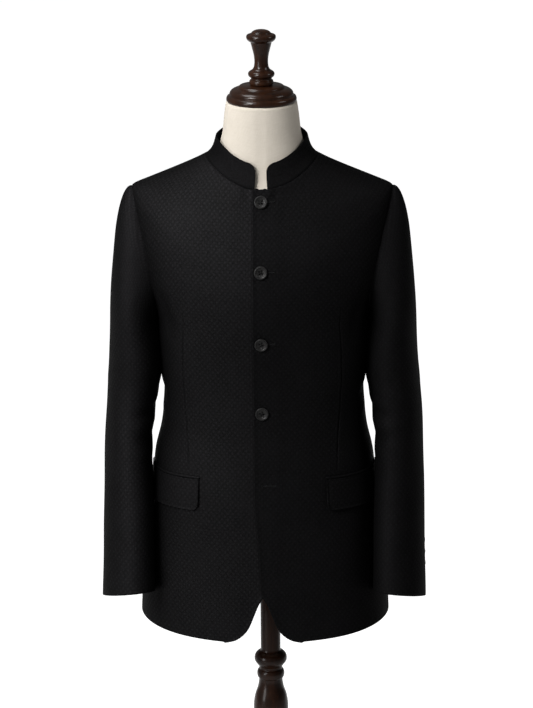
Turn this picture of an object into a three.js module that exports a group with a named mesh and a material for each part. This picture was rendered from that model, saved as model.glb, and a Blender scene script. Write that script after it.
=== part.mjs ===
// A black mandarin collar jacket, worn by a limbless dress form on a turned wooden stand.
// Millimetres. +Z is up, the front faces -Y, and the wearer's left is +X. The origin is on the
// floor under the middle of the stand.
//
// The cloth is a set of thin walls cut from three smooth surfaces: the body, the sleeve and the
// collar. A surface is a pile of rings, and a table gives the size of each ring. The dress form
// is the body's surface moved in, so it stays clear of the cloth all over.
import * as THREE from "three";

// Driving sizes
const WALL = 2; // cloth with its canvas and facing
const COLLAR_WALL = 2.4; // the collar has two layers and a stiffener
const SEAM = 0.3; // space left between pieces that are sewn together
const CLEAR = 0.5; // space under what lies on a panel
const LAP_STEP = 1.3; // how far the upper front stands out, and the lower front in, at the lap
const LAP = 14.5; // each front runs this far past the centre line
const COLLAR_GAP = 17.6; // between the two ends of the collar
const COLLAR_CORNER = 13; // radius of the collar's top corners
const FORM_BASE = 795; // height of the dress form's flat underside
const NECK_TOP = 1560; // height of the neck's flat top

// Levels, measured in millimetres up the side of the body's surface from the hem
const ARMPIT = 505;
const SHOULDER_TIP = 707;
const NECKLINE = 838;

// A table's rows as objects whose fields are its named columns
const table = (columns, rows) =>
  rows.map((row) => Object.fromEntries(columns.map((name, i) => [name, row[i]])));

// The body. side, front and back are heights; half is half the width; fore and aft are the
// depths before and behind the middle; square is how much fuller than an ellipse a ring is.
const BODY = table(
  ["at", "side", "front", "back", "half", "fore", "aft", "square"],
  [
    [0, 713.5, 699.5, 710, 203, 138, 140, 0.1],
    [60, 774, 767, 772, 199.5, 134.5, 139, 0.11],
    [140, 856, 853, 856, 189.5, 129, 133, 0.12],
    [215, 932, 931, 932, 180.5, 122, 121, 0.13],
    [270, 987, 987, 987, 176, 117, 108, 0.13],
    [320, 1037, 1037, 1037, 165.5, 113.5, 98, 0.13],
    [368, 1085, 1085, 1085, 161.6, 112.5, 93, 0.13],
    [415, 1132, 1132, 1132, 165.4, 115.5, 95, 0.13],
    [465, 1182, 1181, 1183, 168.6, 121, 103, 0.13],
    [505, 1222, 1218, 1225, 170.5, 125, 110, 0.13],
    [570, 1287, 1272, 1290, 189, 127, 119, 0.1],
    [640, 1357, 1318, 1342, 203, 121, 121, 0.05],
    [694, 1411, 1350, 1383, 207.2, 111, 116, 0],
    [707, 1425.5, 1358, 1392, 207.5, 108, 114, 0],
    [719, 1430.3, 1365, 1399.5, 196.5, 105.5, 111, 0],
    [770, 1448.8, 1393, 1431.5, 150, 93, 96, 0],
    [812, 1466, 1418.5, 1464, 110, 81, 76, 0],
    [838, 1476.5, 1435, 1483, 88, 75, 66, 0.02],
  ],
);

// The shoulder's edge is sharp at its tip and is softened towards the front and the back: a point
// there is the mean of points up to this far above and below it, each with its share
const SOFT = {
  most: 80,
  reach: 100,
  shares: [[-1, 0.11], [-0.5, 0.22], [0, 0.34], [0.5, 0.22], [1, 0.11]],
};

// The collar, from its seam up to its top edge
const COLLAR = table(
  ["at", "side", "front", "back", "half", "fore", "aft", "square"],
  [
    [0, 1476.8, 1435.3, 1483.3, 88, 75, 66, 0.02],
    [0.25, 1483.5, 1444.7, 1493, 81.7, 72.6, 65, 0.02],
    [0.5, 1491, 1454.1, 1503, 77.6, 70.4, 64.3, 0.02],
    [0.75, 1499, 1463.5, 1513, 75, 68.6, 64, 0.02],
    [1, 1507, 1473, 1523, 73, 67.2, 64, 0.02],
  ],
);

// The neck of the dress form, from inside the collar's seam up to the wooden cap
const NECK = table(
  ["at", "side", "front", "back", "half", "fore", "aft", "square"],
  [
    [0, 1477, 1436, 1482, 82.5, 69.5, 61, 0.02],
    [1, 1485, 1447, 1490, 74.5, 65.5, 59.5, 0.02],
    [2, 1495, 1463, 1500, 67, 62, 58.5, 0.02],
    [3, 1509, 1484, 1513, 62.8, 59.5, 57, 0.01],
    [4, 1523, 1505, 1525, 61, 58, 56.5, 0],
    [5, 1542, 1534, 1543, 59, 57, 56.2, 0],
    [6, NECK_TOP, NECK_TOP, NECK_TOP, 56.3, 56, 56, 0],
  ],
);

// How far the dress form stands in from the cloth's inner face: it carries the shoulders
const EASE = table(
  ["at", "all", "side"],
  [
    [0, 16, 0],
    [140, 14, 0],
    [368, 16, 0],
    [505, 9, 1],
    [640, 3, 12],
    [707, CLEAR, 7],
    [770, CLEAR, 0],
    [838, CLEAR, 0],
  ],
);

// The left sleeve below the armpit. x, y and z place the middle of a ring; across is half its
// breadth seen from the front; deep is half its depth; turn is how far its front swings in, in
// degrees; lift is how much its front edge is above its middle.
const ARM = table(
  ["at", "x", "y", "z", "across", "deep", "turn", "lift"],
  [
    [0, 208.5, 0, 1203, 38, 70, 0, 0],
    [43, 209, 0, 1160, 41, 69, 2, 0],
    [72, 209, 0, 1131, 42.5, 67.8, 3, 0],
    [98, 211, 0, 1105, 42.2, 66.5, 5, 1],
    [158, 217, -7, 1045, 39.7, 64, 9, 4],
    [220, 219.6, -21, 985, 39.6, 61.5, 13, 8],
    [287, 220.3, -39, 920, 40.3, 59.5, 16, 11],
    [360, 220.1, -58, 850, 40.8, 58, 19, 14],
    [449, 220.4, -81, 766, 42.3, 56.5, 21, 16],
  ],
);
const CUFF = ARM[ARM.length - 1].at;

// The front edge: it swings back below the level of the last buttonhole, bends further back near
// the hem, and ends in a round corner
const CUTAWAY = { starts: 245, slope: 0.06, bends: 84, lean: 0.38, corner: 27 };

// The armhole: how far it reaches round the body, in degrees of bearing, how much wider it is
// below, and the share of its size that the seam takes
const ARMHOLE = { front: 24, back: 27, egg: 0.2, seam: 0.006 };
const ARMHOLE_STEPS = 12; // from the shoulder tip to the armpit, on each side

const rad = THREE.MathUtils.degToRad;
const clamp01 = (v) => THREE.MathUtils.clamp(v, 0, 1);
const ramp = (v) => THREE.MathUtils.smoothstep(v, 0, 1);
const mix = THREE.MathUtils.lerp;
const count = (many) => Array.from({ length: many }, (_, i) => i);
const steps = (from, to, parts) => count(parts + 1).map((i) => mix(from, to, i / parts));

// The cubic curve from a to b, with slopes p and q at its ends
function hermite(a, b, p, q, u) {
  const rise = u * u * (3 - 2 * u);
  return a + (b - a) * rise + p * u * (1 - u) * (1 - u) - q * u * u * (1 - u);
}

// A column's value between the rows of a table, on a smooth curve through them
function read(rows, column, at) {
  const last = rows.length - 1;
  const next = rows.findIndex((row, i) => i === last || row.at >= at);
  const i = Math.max(next, 1);
  const span = rows[i].at - rows[i - 1].at;
  const slope = (j) => {
    const before = rows[Math.max(j - 1, 0)];
    const after = rows[Math.min(j + 1, last)];
    return (after[column] - before[column]) / (after.at - before.at);
  };
  const u = clamp01((at - rows[i - 1].at) / span);
  const [a, b] = [rows[i - 1][column], rows[i][column]];
  return hermite(a, b, slope(i - 1) * span, slope(i) * span, u);
}

// The point of a ring at a bearing, in degrees from the centre front towards the wearer's left
function ringPoint(rows, bearing, at) {
  const get = (column) => read(rows, column, at);
  const s = Math.sin(rad(bearing));
  const c = Math.cos(rad(bearing));
  const [depth, end] = c > 0 ? ["fore", "front"] : ["aft", "back"];
  return new THREE.Vector3(
    get("half") * s * (1 + get("square") * c * c),
    -get(depth) * c * (1 + get("square") * s * s),
    mix(get("side"), get(end), c * c),
  );
}

// The outward direction of a surface at (around, along), from two short steps on it
function outward(surface, around, along, step) {
  const ring = surface(around + step[0], along).sub(surface(around - step[0], along));
  const line = surface(around, along + step[1]).sub(surface(around, along - step[1]));
  return ring.cross(line).normalize();
}

// The body's surface: its rings, softened across the shoulder's edge
function bodyPoint(bearing, level) {
  const near = clamp01(1 - Math.abs(level - SHOULDER_TIP) / SOFT.reach);
  const spread = SOFT.most * near * Math.abs(Math.cos(rad(bearing)));
  if (spread === 0) return ringPoint(BODY, bearing, level);
  return SOFT.shares.reduce(
    (sum, [step, share]) =>
      sum.addScaledVector(ringPoint(BODY, bearing, level + step * spread), share),
    new THREE.Vector3(),
  );
}
const bodyOut = (bearing, level) => outward(bodyPoint, bearing, level, [0.5, 0.5]);

// A point of the body's surface, moved out from it
const onBody = (bearing, level, out) =>
  bodyPoint(bearing, level).addScaledVector(bodyOut(bearing, level), out);

// Degrees of bearing that cover a distance along a ring of the body
function degrees(bearing, level, distance) {
  const reach = bodyPoint(bearing + 0.5, level).distanceTo(bodyPoint(bearing - 0.5, level));
  return distance / reach;
}

// Where round the armhole a level falls, as a turn in degrees from the shoulder tip down
const armholeTurn = (level) =>
  THREE.MathUtils.radToDeg(
    Math.acos(THREE.MathUtils.clamp((2 * (level - ARMPIT)) / (SHOULDER_TIP - ARMPIT) - 1, -1, 1)),
  );

// Where the armhole's edge is at a turn. size is 1 for the edge itself, less for inside it.
function armholeEdge(turn, size) {
  const s = size * Math.sin(rad(turn));
  const c = size * Math.cos(rad(turn));
  const reach = s > 0 ? -ARMHOLE.front : ARMHOLE.back;
  return {
    bearing: 90 + reach * Math.abs(s) * (1 - ARMHOLE.egg * c),
    level: mix(ARMPIT, SHOULDER_TIP, (1 + c) / 2),
  };
}

// Closes a grid of outer and inner points into one wall. grid[row][column] is { out, in }.
function wall(grid) {
  const [rows, columns] = [grid.length, grid[0].length];
  const points = grid.flat().flatMap((p) => [...p.out.toArray(), ...p.in.toArray()]);
  const corner = (row, column, face) => 2 * (row * columns + column) + face;
  const index = [];
  const quad = (a, b, c, d) => index.push(a, b, c, a, c, d);
  const apart = ([i, j], [k, l]) => grid[i][j].out.distanceTo(grid[k][l].out);
  for (let r = 0; r < rows - 1; r += 1) {
    for (let c = 0; c < columns - 1; c += 1) {
      const around = [[r, c], [r, c + 1], [r + 1, c + 1], [r + 1, c]];
      // Each four-sided patch is split along its shorter diagonal
      if (apart(around[1], around[3]) < apart(around[0], around[2])) around.push(around.shift());
      quad(...around.map(([i, j]) => corner(i, j, 0)));
      quad(...[0, 3, 2, 1].map((k) => corner(...around[k], 1)));
    }
  }
  const rim = [
    ...count(columns - 1).map((c) => [0, c]),
    ...count(rows - 1).map((r) => [r, columns - 1]),
    ...count(columns - 1).map((c) => [rows - 1, columns - 1 - c]),
    ...count(rows - 1).map((r) => [rows - 1 - r, 0]),
  ];
  rim.forEach((a, i) => {
    const b = rim[(i + 1) % rim.length];
    quad(corner(...b, 0), corner(...a, 0), corner(...a, 1), corner(...b, 1));
  });
  return facingOut(points, index);
}

// A geometry from points and triangles, turned so that its faces point out
function facingOut(points, index) {
  const at = (i) => new THREE.Vector3().fromArray(points, 3 * i);
  let volume = 0;
  for (let i = 0; i < index.length; i += 3) {
    volume += at(index[i]).dot(at(index[i + 1]).cross(at(index[i + 2])));
  }
  const geometry = new THREE.BufferGeometry();
  geometry.setAttribute("position", new THREE.Float32BufferAttribute(points, 3));
  geometry.setIndex(volume > 0 ? index : index.slice().reverse());
  geometry.computeVertexNormals();
  return geometry;
}

// A closed solid from a pile of rings, each a list of points, with a flat face at each end
function pile(rings) {
  const round = rings[0].length;
  const middle = (ring) =>
    ring.reduce((sum, p) => sum.add(p), new THREE.Vector3()).divideScalar(round);
  const all = [...rings.flat(), middle(rings[0]), middle(rings[rings.length - 1])];
  const points = all.flatMap((p) => p.toArray());
  const [foot, head] = [all.length - 2, all.length - 1];
  const top = (rings.length - 1) * round;
  const index = [];
  for (let i = 0; i < round; i += 1) {
    const j = (i + 1) % round;
    for (let r = 0; r < rings.length - 1; r += 1) {
      const [a, b, c, d] = [r * round + i, r * round + j, (r + 1) * round + j, (r + 1) * round + i];
      index.push(a, b, c, a, c, d);
    }
    index.push(foot, j, i, head, top + i, top + j);
  }
  return facingOut(points, index);
}

const mirrored = (p) => new THREE.Vector3(-p.x, p.y, p.z);
const mirroredGrid = (grid) =>
  grid.map((row) => row.map((p) => ({ out: mirrored(p.out), in: mirrored(p.in) })));

// Materials
const finish = (color, roughness) =>
  new THREE.MeshStandardMaterial({ color, roughness, metalness: 0 });
const CLOTH = finish(0x17181a, 0.85);
const HORN = finish(0x141415, 0.35);
const LINEN = finish(0xd9d0c0, 0.9);
const WALNUT = finish(0x2c1a12, 0.3);

const jacket = new THREE.Group();
function add(name, geometry, material) {
  const mesh = new THREE.Mesh(geometry, material);
  mesh.name = name;
  jacket.add(mesh);
  return mesh;
}

// Levels of the panels' rows
const ARMHOLE_ROWS = steps(180, 0, ARMHOLE_STEPS).map((turn) => armholeEdge(turn, 1).level);
const SHOULDER_ROWS = steps(SHOULDER_TIP, NECKLINE, 5).slice(1);
const HEM_ROWS = [0, 2, 7, 15, 27, 45, 70];
const WAIST_ROWS = steps(105, ARMPIT, 11).slice(0, -1);
const PANEL_ROWS = [...HEM_ROWS, ...WAIST_ROWS, ...ARMHOLE_ROWS, ...SHOULDER_ROWS];

// The side seam runs a little behind the side line below the armhole
const sideSeam = (level) => 90 + 8 * ramp((ARMPIT - level) / 160);

// The bearing at which a panel ends towards the sleeve. turnSign is 1 for a front, -1 for a back.
function outerEdge(level, turnSign) {
  const onArmhole = level > ARMPIT && level < SHOULDER_TIP;
  const bearing = onArmhole ? armholeEdge(turnSign * armholeTurn(level), 1).bearing : sideSeam(level);
  return bearing - turnSign * degrees(bearing, level, SEAM / 2);
}

// How far a front's edge is from the centre line, negative past it
function frontEdge(level) {
  const c = CUTAWAY;
  const below = Math.max(c.starts - level, 0);
  const bent = Math.max(c.bends - level, 0);
  const inside = clamp01(1 - level / c.corner);
  const line = -LAP + c.slope * below * ramp(below / 90) + c.lean * bent * ramp(bent / 30);
  return line + c.corner * (1 - Math.sqrt(1 - inside ** 2));
}

// How far a front stands off the body's surface: 1 laps over and -1 laps under
function lapLift(bearing, level, lap) {
  const across = bodyPoint(bearing, level).x;
  return lap * LAP_STEP * (1 - ramp((across - 16) / 30));
}

// A front, as a grid on the wearer's left
function frontGrid(lap) {
  return PANEL_ROWS.map((level) => {
    const edge = degrees(0, level, frontEdge(level));
    return steps(edge, outerEdge(level, 1), 12).map((bearing) => {
      const lift = lapLift(bearing, level, lap);
      return { out: onBody(bearing, level, lift), in: onBody(bearing, level, lift - WALL) };
    });
  });
}

// A back, from the side seam to the centre back seam
const backGrid = PANEL_ROWS.map((level) => {
  const middle = 180 - degrees(180, level, SEAM / 2);
  return steps(outerEdge(level, -1), middle, 10).map((bearing) => ({
    out: onBody(bearing, level, 0),
    in: onBody(bearing, level, -WALL),
  }));
});

add("front_left", wall(frontGrid(1)), CLOTH);
add("front_right", wall(mirroredGrid(frontGrid(-1))), CLOTH);
add("back_left", wall(backGrid), CLOTH);
add("back_right", wall(mirroredGrid(backGrid)), CLOTH);

// The sleeve. turn is in degrees from the top of the sleeve, down its front and round its back.
function armPoint(turn, at) {
  const get = (column) => read(ARM, column, at);
  const swing = rad(get("turn"));
  const deep = get("deep");
  const swung = deep * Math.sin(swing);
  const wide = Math.sqrt(get("across") ** 2 - swung ** 2) / Math.cos(swing);
  const outer = wide * Math.cos(rad(turn));
  const front = deep * Math.sin(rad(turn));
  return new THREE.Vector3(
    get("x") + outer * Math.cos(swing) - front * Math.sin(swing),
    get("y") - outer * Math.sin(swing) - front * Math.cos(swing),
    get("z") + get("lift") * Math.sin(rad(turn)),
  );
}

// The sleeve head rises from the armhole and rolls over into the arm. along runs from 0 at the
// armhole to 1 at the armpit's level, and then on in millimetres down the arm.
function sleevePoint(turn, along) {
  if (along >= 1) return armPoint(turn, along - 1);
  const edge = armholeEdge(turn, 1 - ARMHOLE.seam);
  const c = Math.cos(rad(turn));
  const rise = rad(5 - 42.5 * (1 - c));
  const leave = new THREE.Vector3(Math.cos(rise), -0.35 * Math.sin(rad(turn)), Math.sin(rise));
  leave.normalize();
  const from = onBody(edge.bearing, edge.level, SEAM);
  const to = armPoint(turn, 0);
  const reach = from.distanceTo(to);
  leave.multiplyScalar(reach * (0.36 + 0.15 * (1 - c)));
  const arrive = armPoint(turn, 1).sub(to).normalize().multiplyScalar(1.12 * reach);
  const part = (axis) => hermite(from[axis], to[axis], leave[axis], arrive[axis], along);
  return new THREE.Vector3(part("x"), part("y"), part("z"));
}

function onSleeve(turn, along, out) {
  const step = along < 1 ? 0.01 : 1;
  const facing = outward(sleevePoint, turn, along, [1, step]);
  return sleevePoint(turn, along).addScaledVector(facing, out);
}

const SLEEVE_ROWS = [...steps(0, 1, 8), ...steps(1, 1 + CUFF, 10).slice(1)];
const FRONT_SEAM = 150;
const BACK_SEAM = 285;

// A piece of the left sleeve between two seams
function sleeveGrid(from, to, columns) {
  return SLEEVE_ROWS.map((along) =>
    steps(from + 0.2, to - 0.2, columns).map((turn) => ({
      out: onSleeve(turn, along, 0),
      in: onSleeve(turn, along, -WALL),
    })),
  );
}

const topSleeve = sleeveGrid(BACK_SEAM - 360, FRONT_SEAM, 15);
const underSleeve = sleeveGrid(FRONT_SEAM, BACK_SEAM, 9);
add("sleeve_top_left", wall(topSleeve), CLOTH);
add("sleeve_top_right", wall(mirroredGrid(topSleeve)), CLOTH);
add("sleeve_under_left", wall(underSleeve), CLOTH);
add("sleeve_under_right", wall(mirroredGrid(underSleeve)), CLOTH);

// The collar: a standing band, open at the front, with round top corners
const collarPoint = (bearing, height) => ringPoint(COLLAR, bearing, height);

function collarGrid() {
  const perDegree = collarPoint(0.5, 0.5).distanceTo(collarPoint(-0.5, 0.5));
  const start = COLLAR_GAP / 2 / perDegree;
  const height = collarPoint(start, 1).distanceTo(collarPoint(start, 0));
  const end = COLLAR_CORNER / perDegree;
  const nearEnd = [0, 0.1, 0.35, 0.65].map((share) => start + share * end);
  const half = [...nearEnd, ...steps(start + end, 180, 14)];
  const bearings = [...half, ...half.slice(0, -1).reverse().map((b) => 360 - b)];
  return [0, 0.25, 0.5, 0.75, 1].map((share) =>
    bearings.map((bearing) => {
      const fromEnd = (Math.min(bearing, 360 - bearing) - start) * perDegree;
      const inside = COLLAR_CORNER - Math.min(fromEnd, COLLAR_CORNER);
      const drop = COLLAR_CORNER - Math.sqrt(COLLAR_CORNER ** 2 - inside ** 2);
      const up = share * (1 - drop / height);
      const out = outward(collarPoint, bearing, up, [1, 0.02]);
      const point = collarPoint(bearing, up);
      return { out: point, in: point.clone().addScaledVector(out, -COLLAR_WALL) };
    }),
  );
}
add("collar", wall(collarGrid()), CLOTH);

// Pockets: a flap under a narrow jetting, on each front. They start near the dart and run back.
const FLAP = { x: 101.5, z: 971.5, length: 142, depth: 50, slant: 0.01, corner: 9, thick: 2 };
const JETTING = { depth: 4.5, thick: 1.2 };

// The body's level at a height on a bearing
function levelAt(bearing, z) {
  let [low, high] = [0, ARMPIT];
  while (high - low > 0.01) {
    const middle = (low + high) / 2;
    if (bodyPoint(bearing, middle).z < z) low = middle;
    else high = middle;
  }
  return low;
}

// A patch that lies on a front: run is the distance back from the pocket's front end, and
// fall is the distance below the pocket's mouth. lift is the space under it.
function patchPoint(run, fall, out) {
  const level = levelAt(40, FLAP.z);
  let bearing = 0;
  while (bodyPoint(bearing, level).x < FLAP.x) bearing += 0.1;
  let gone = 0;
  while (gone < run) {
    bearing += degrees(bearing, level, 1);
    gone += 1;
  }
  const place = levelAt(bearing, FLAP.z - fall - FLAP.slant * run);
  return onBody(bearing, place, out);
}

function patchGrid(runs, shares, top, depthAt, thick, lift) {
  return shares.map((share) =>
    runs.map((run) => {
      const fall = top + share * depthAt(run);
      const under = CLEAR + lift * share;
      return { out: patchPoint(run, fall, under + thick), in: patchPoint(run, fall, under) };
    }),
  );
}

// The flap's lower corners are round
function flapDepth(run) {
  const inside = FLAP.corner - Math.min(run, FLAP.length - run, FLAP.corner);
  return FLAP.depth - FLAP.corner + Math.sqrt(FLAP.corner ** 2 - inside ** 2);
}
const flapRuns = [0, 1, 4, ...steps(FLAP.corner, FLAP.length - FLAP.corner, 8)];
flapRuns.push(FLAP.length - 4, FLAP.length - 1, FLAP.length);
const flap = patchGrid(flapRuns, [0, 0.33, 0.67, 1], JETTING.depth + SEAM, flapDepth, FLAP.thick, 0.8);
const jetting = patchGrid(
  steps(-1, FLAP.length + 1, 12),
  [0, 1],
  0,
  () => JETTING.depth,
  JETTING.thick,
  0,
);
for (const [side, grid] of [["left", (g) => g], ["right", mirroredGrid]]) {
  add("flap_" + side, wall(grid(flap)), CLOTH);
  add("jetting_" + side, wall(grid(jetting)), CLOTH);
}

// A turned solid from a profile of [radius, height] pairs that starts and ends on the axis
const turned = (profile, segments) =>
  new THREE.LatheGeometry(
    profile.map(([r, z]) => new THREE.Vector2(r, z)),
    segments,
  ).rotateX(Math.PI / 2);

// A button with a raised rim round a shallow dish, lying on its back face
function button(radius, thick, segments) {
  const rim = 0.16 * radius;
  return turned(
    [
      [0, 0],
      [0.6 * radius, 0],
      [radius, 0.45 * thick],
      [radius - 0.3 * rim, thick],
      [radius - 1.2 * rim, thick],
      [radius - 2.2 * rim, 0.68 * thick],
      [0, 0.6 * thick],
    ],
    segments,
  );
}

// Lays a mesh that faces +Z at a point, facing a direction
function lay(mesh, point, facing) {
  mesh.position.copy(point);
  mesh.quaternion.setFromUnitVectors(new THREE.Vector3(0, 0, 1), facing);
}

const BUTTON = { radius: 10.5, thick: 4 };
const BUTTON_HEIGHTS = [1415, 1312, 1196, 1079];
BUTTON_HEIGHTS.forEach((z, i) => {
  let level = 0;
  while (bodyPoint(0, level).z < z) level += 0.5;
  const facing = bodyOut(0, level);
  const mesh = add("button_" + (i + 1), button(BUTTON.radius, BUTTON.thick, 14), HORN);
  lay(mesh, onBody(0, level, LAP_STEP + CLEAR), facing);
});

// Three buttons on each top sleeve, just in front of its back seam
const CUFF_BUTTON = { radius: 7.5, thick: 3, turn: -56, first: 50, pitch: 18.6, count: 3 };
for (let i = 0; i < CUFF_BUTTON.count; i += 1) {
  const along = 1 + CUFF - CUFF_BUTTON.first - i * CUFF_BUTTON.pitch;
  const facing = outward(sleevePoint, CUFF_BUTTON.turn, along, [1, 1]);
  const place = sleevePoint(CUFF_BUTTON.turn, along).addScaledVector(facing, CLEAR);
  const shape = () => button(CUFF_BUTTON.radius, CUFF_BUTTON.thick, 12);
  lay(add("cuff_button_left_" + (i + 1), shape(), HORN), place, facing);
  lay(add("cuff_button_right_" + (i + 1), shape(), HORN), mirrored(place), mirrored(facing));
}

// The dress form: the body's surface moved in, then its own neck
const FORM_COLUMNS = 26;
const bearings = steps(0, 360, FORM_COLUMNS).slice(0, -1);
const FORM_LEVELS = [82, 120, ...steps(170, ARMPIT, 7), 555, 600, 640, 675, 707, 738, 775, 812, 838];
const formRing = (level) =>
  bearings.map((bearing) => {
    const towardsSide = Math.sin(rad(bearing)) ** 6;
    const ease = read(EASE, "all", level) + read(EASE, "side", level) * towardsSide;
    return onBody(bearing, level, -WALL - LAP_STEP - ease);
  });
const torso = FORM_LEVELS.map(formRing);
torso[0].forEach((p) => p.setZ(FORM_BASE));
const neck = NECK.map((row) => bearings.map((bearing) => ringPoint(NECK, bearing, row.at)));
add("form_torso", pile([...torso, ...neck]), LINEN);

// The wooden cap on the neck, and the knob on it
const CAP_HEIGHT = 26;
const cap = [
  [0, 0],
  [53.5, 0],
  [55.6, 2.5],
  [55.6, 7],
  [54, 9.6],
  [50.6, 12],
  [50.2, 15.5],
  [44.5, 20.5],
  [36.5, 22],
  [35, 25],
  [0, CAP_HEIGHT],
];
const finial = [
  [0, 0],
  [17, 0],
  [19, 3],
  [19, 8],
  [16.6, 12],
  [19.2, 14],
  [21, 17.5],
  [20, 21.5],
  [13.6, 26],
  [11.2, 31],
  [10.7, 39],
  [12, 48],
  [14.8, 60],
  [17, 69.5],
  [21.5, 72],
  [23.5, 76.5],
  [21.5, 80.5],
  [16.4, 82.5],
  [12.5, 86],
  [7, 88],
  [0, 88.5],
];
add("form_neck_cap", turned(cap, 24), WALNUT).position.setZ(NECK_TOP + SEAM);
add("form_finial", turned(finial, 16), WALNUT).position.setZ(NECK_TOP + CAP_HEIGHT + 2 * SEAM);

// The stand: a turned pole with a vase below two rings, on a plain round base. It stands a little
// to the wearer's left of the form's middle.
const STAND_X = 8;
const BASE = { radius: 185, height: 24 };
const poleFoot = BASE.height + SEAM;
const pole = [
  [0, poleFoot],
  [26, poleFoot],
  [26, poleFoot + 10],
  [18, poleFoot + 22],
  [16.3, poleFoot + 60],
  [16.3, 400],
  [20, 412],
  [17.5, 424],
  [19, 440],
  [24, 475],
  [28, 520],
  [28.3, 545],
  [26.5, 558],
  [22, 572],
  [19.3, 585],
  [19.5, 592],
  [22.2, 597.5],
  [19.3, 603],
  [19.2, 609],
  [23, 615],
  [26.6, 622.5],
  [25, 629],
  [20, 634],
  [16.3, 636],
  [16.3, FORM_BASE - SEAM],
  [0, FORM_BASE - SEAM],
];
const base = [
  [0, 0],
  [BASE.radius - 2, 0],
  [BASE.radius, 2],
  [BASE.radius, 13],
  [BASE.radius - 5, 18],
  [BASE.radius - 16, BASE.height - 2],
  [BASE.radius - 24, BASE.height],
  [0, BASE.height],
];
add("stand_pole", turned(pole, 14), WALNUT).position.setX(STAND_X);
add("stand_base", turned(base, 28), WALNUT).position.setX(STAND_X);

export default jacket;
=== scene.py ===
import math

import bmesh
import bpy
import numpy as np
from mathutils import Matrix, Vector, noise


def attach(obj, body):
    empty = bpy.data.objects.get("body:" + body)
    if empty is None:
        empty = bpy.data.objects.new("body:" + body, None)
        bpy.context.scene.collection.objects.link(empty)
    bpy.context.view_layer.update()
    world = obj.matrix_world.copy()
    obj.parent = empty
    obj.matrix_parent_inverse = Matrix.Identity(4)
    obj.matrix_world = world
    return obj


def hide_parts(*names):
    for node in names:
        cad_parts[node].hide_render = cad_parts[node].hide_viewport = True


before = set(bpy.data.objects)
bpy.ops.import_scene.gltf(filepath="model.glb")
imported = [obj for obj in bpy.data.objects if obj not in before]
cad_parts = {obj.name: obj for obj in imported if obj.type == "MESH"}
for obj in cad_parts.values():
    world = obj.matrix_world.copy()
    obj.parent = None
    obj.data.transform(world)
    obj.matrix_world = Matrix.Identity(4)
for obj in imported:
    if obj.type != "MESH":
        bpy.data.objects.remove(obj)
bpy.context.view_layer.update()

MM = 0.001

# Driving sizes
WALL = 2.0
COLLAR_WALL = 2.4
SEAM = 0.3
# A panel's edge is this far from the middle of a long seam, so that the seam looks shut
SHUT = 0.03
CLEAR = 0.5
LAP_STEP = 1.3
LAP = 14.5
COLLAR_GAP = 17.6
COLLAR_CORNER = 13.0
FORM_BASE = 795.0
NECK_TOP = 1560.0

# Levels, measured in millimetres up the side of the body's surface from the hem
ARMPIT = 505.0
SHOULDER_TIP = 707.0
NECKLINE = 838.0


def table(columns, rows):
    """Rows of numbers as named columns."""
    return dict(zip(columns, np.array(rows, dtype=float).T))


RING = ["at", "side", "front", "back", "half", "fore", "aft", "square"]

# side, front and back are heights; half is half the width; fore and aft are the depths before and
# behind the middle; square is how much fuller than an ellipse a ring is
BODY = table(
    RING,
    [
        [0, 713.5, 699.5, 710, 203, 138, 140, 0.1],
        [60, 774, 767, 772, 199.5, 134.5, 139, 0.11],
        [140, 856, 853, 856, 189.5, 129, 133, 0.12],
        [215, 932, 931, 932, 180.5, 122, 121, 0.13],
        [270, 987, 987, 987, 176, 117, 108, 0.13],
        [320, 1037, 1037, 1037, 165.5, 113.5, 98, 0.13],
        [368, 1085, 1085, 1085, 161.6, 112.5, 93, 0.13],
        [415, 1132, 1132, 1132, 165.4, 115.5, 95, 0.13],
        [465, 1182, 1181, 1183, 168.6, 121, 103, 0.13],
        [505, 1222, 1218, 1225, 170.5, 125, 110, 0.13],
        [570, 1287, 1272, 1290, 189, 127, 119, 0.1],
        [640, 1357, 1318, 1342, 203, 121, 121, 0.05],
        [694, 1411, 1350, 1383, 207.2, 111, 116, 0],
        [707, 1425.5, 1358, 1392, 207.5, 108, 114, 0],
        [719, 1430.3, 1365, 1399.5, 196.5, 105.5, 111, 0],
        [770, 1448.8, 1393, 1431.5, 150, 93, 96, 0],
        [812, 1466, 1418.5, 1464, 110, 81, 76, 0],
        [838, 1476.5, 1435, 1483, 88, 75, 66, 0.02],
    ],
)
COLLAR = table(
    RING,
    [
        [0, 1476.8, 1435.3, 1483.3, 88, 75, 66, 0.02],
        [0.25, 1483.5, 1444.7, 1493, 81.7, 72.6, 65, 0.02],
        [0.5, 1491, 1454.1, 1503, 77.6, 70.4, 64.3, 0.02],
        [0.75, 1499, 1463.5, 1513, 75, 68.6, 64, 0.02],
        [1, 1507, 1473, 1523, 73, 67.2, 64, 0.02],
    ],
)
NECK = table(
    RING,
    [
        [0, 1477, 1436, 1482, 82.5, 69.5, 61, 0.02],
        [1, 1485, 1447, 1490, 74.5, 65.5, 59.5, 0.02],
        [2, 1495, 1463, 1500, 67, 62, 58.5, 0.02],
        [3, 1509, 1484, 1513, 62.8, 59.5, 57, 0.01],
        [4, 1523, 1505, 1525, 61, 58, 56.5, 0],
        [5, 1542, 1534, 1543, 59, 57, 56.2, 0],
        [6, NECK_TOP, NECK_TOP, NECK_TOP, 56.3, 56, 56, 0],
    ],
)
# How far the dress form stands in from the cloth's inner face
EASE = table(
    ["at", "all", "side"],
    [
        [0, 16, 0],
        [140, 14, 0],
        [368, 16, 0],
        [505, 9, 1],
        [640, 3, 12],
        [707, CLEAR, 7],
        [770, CLEAR, 0],
        [838, CLEAR, 0],
    ],
)
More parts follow.
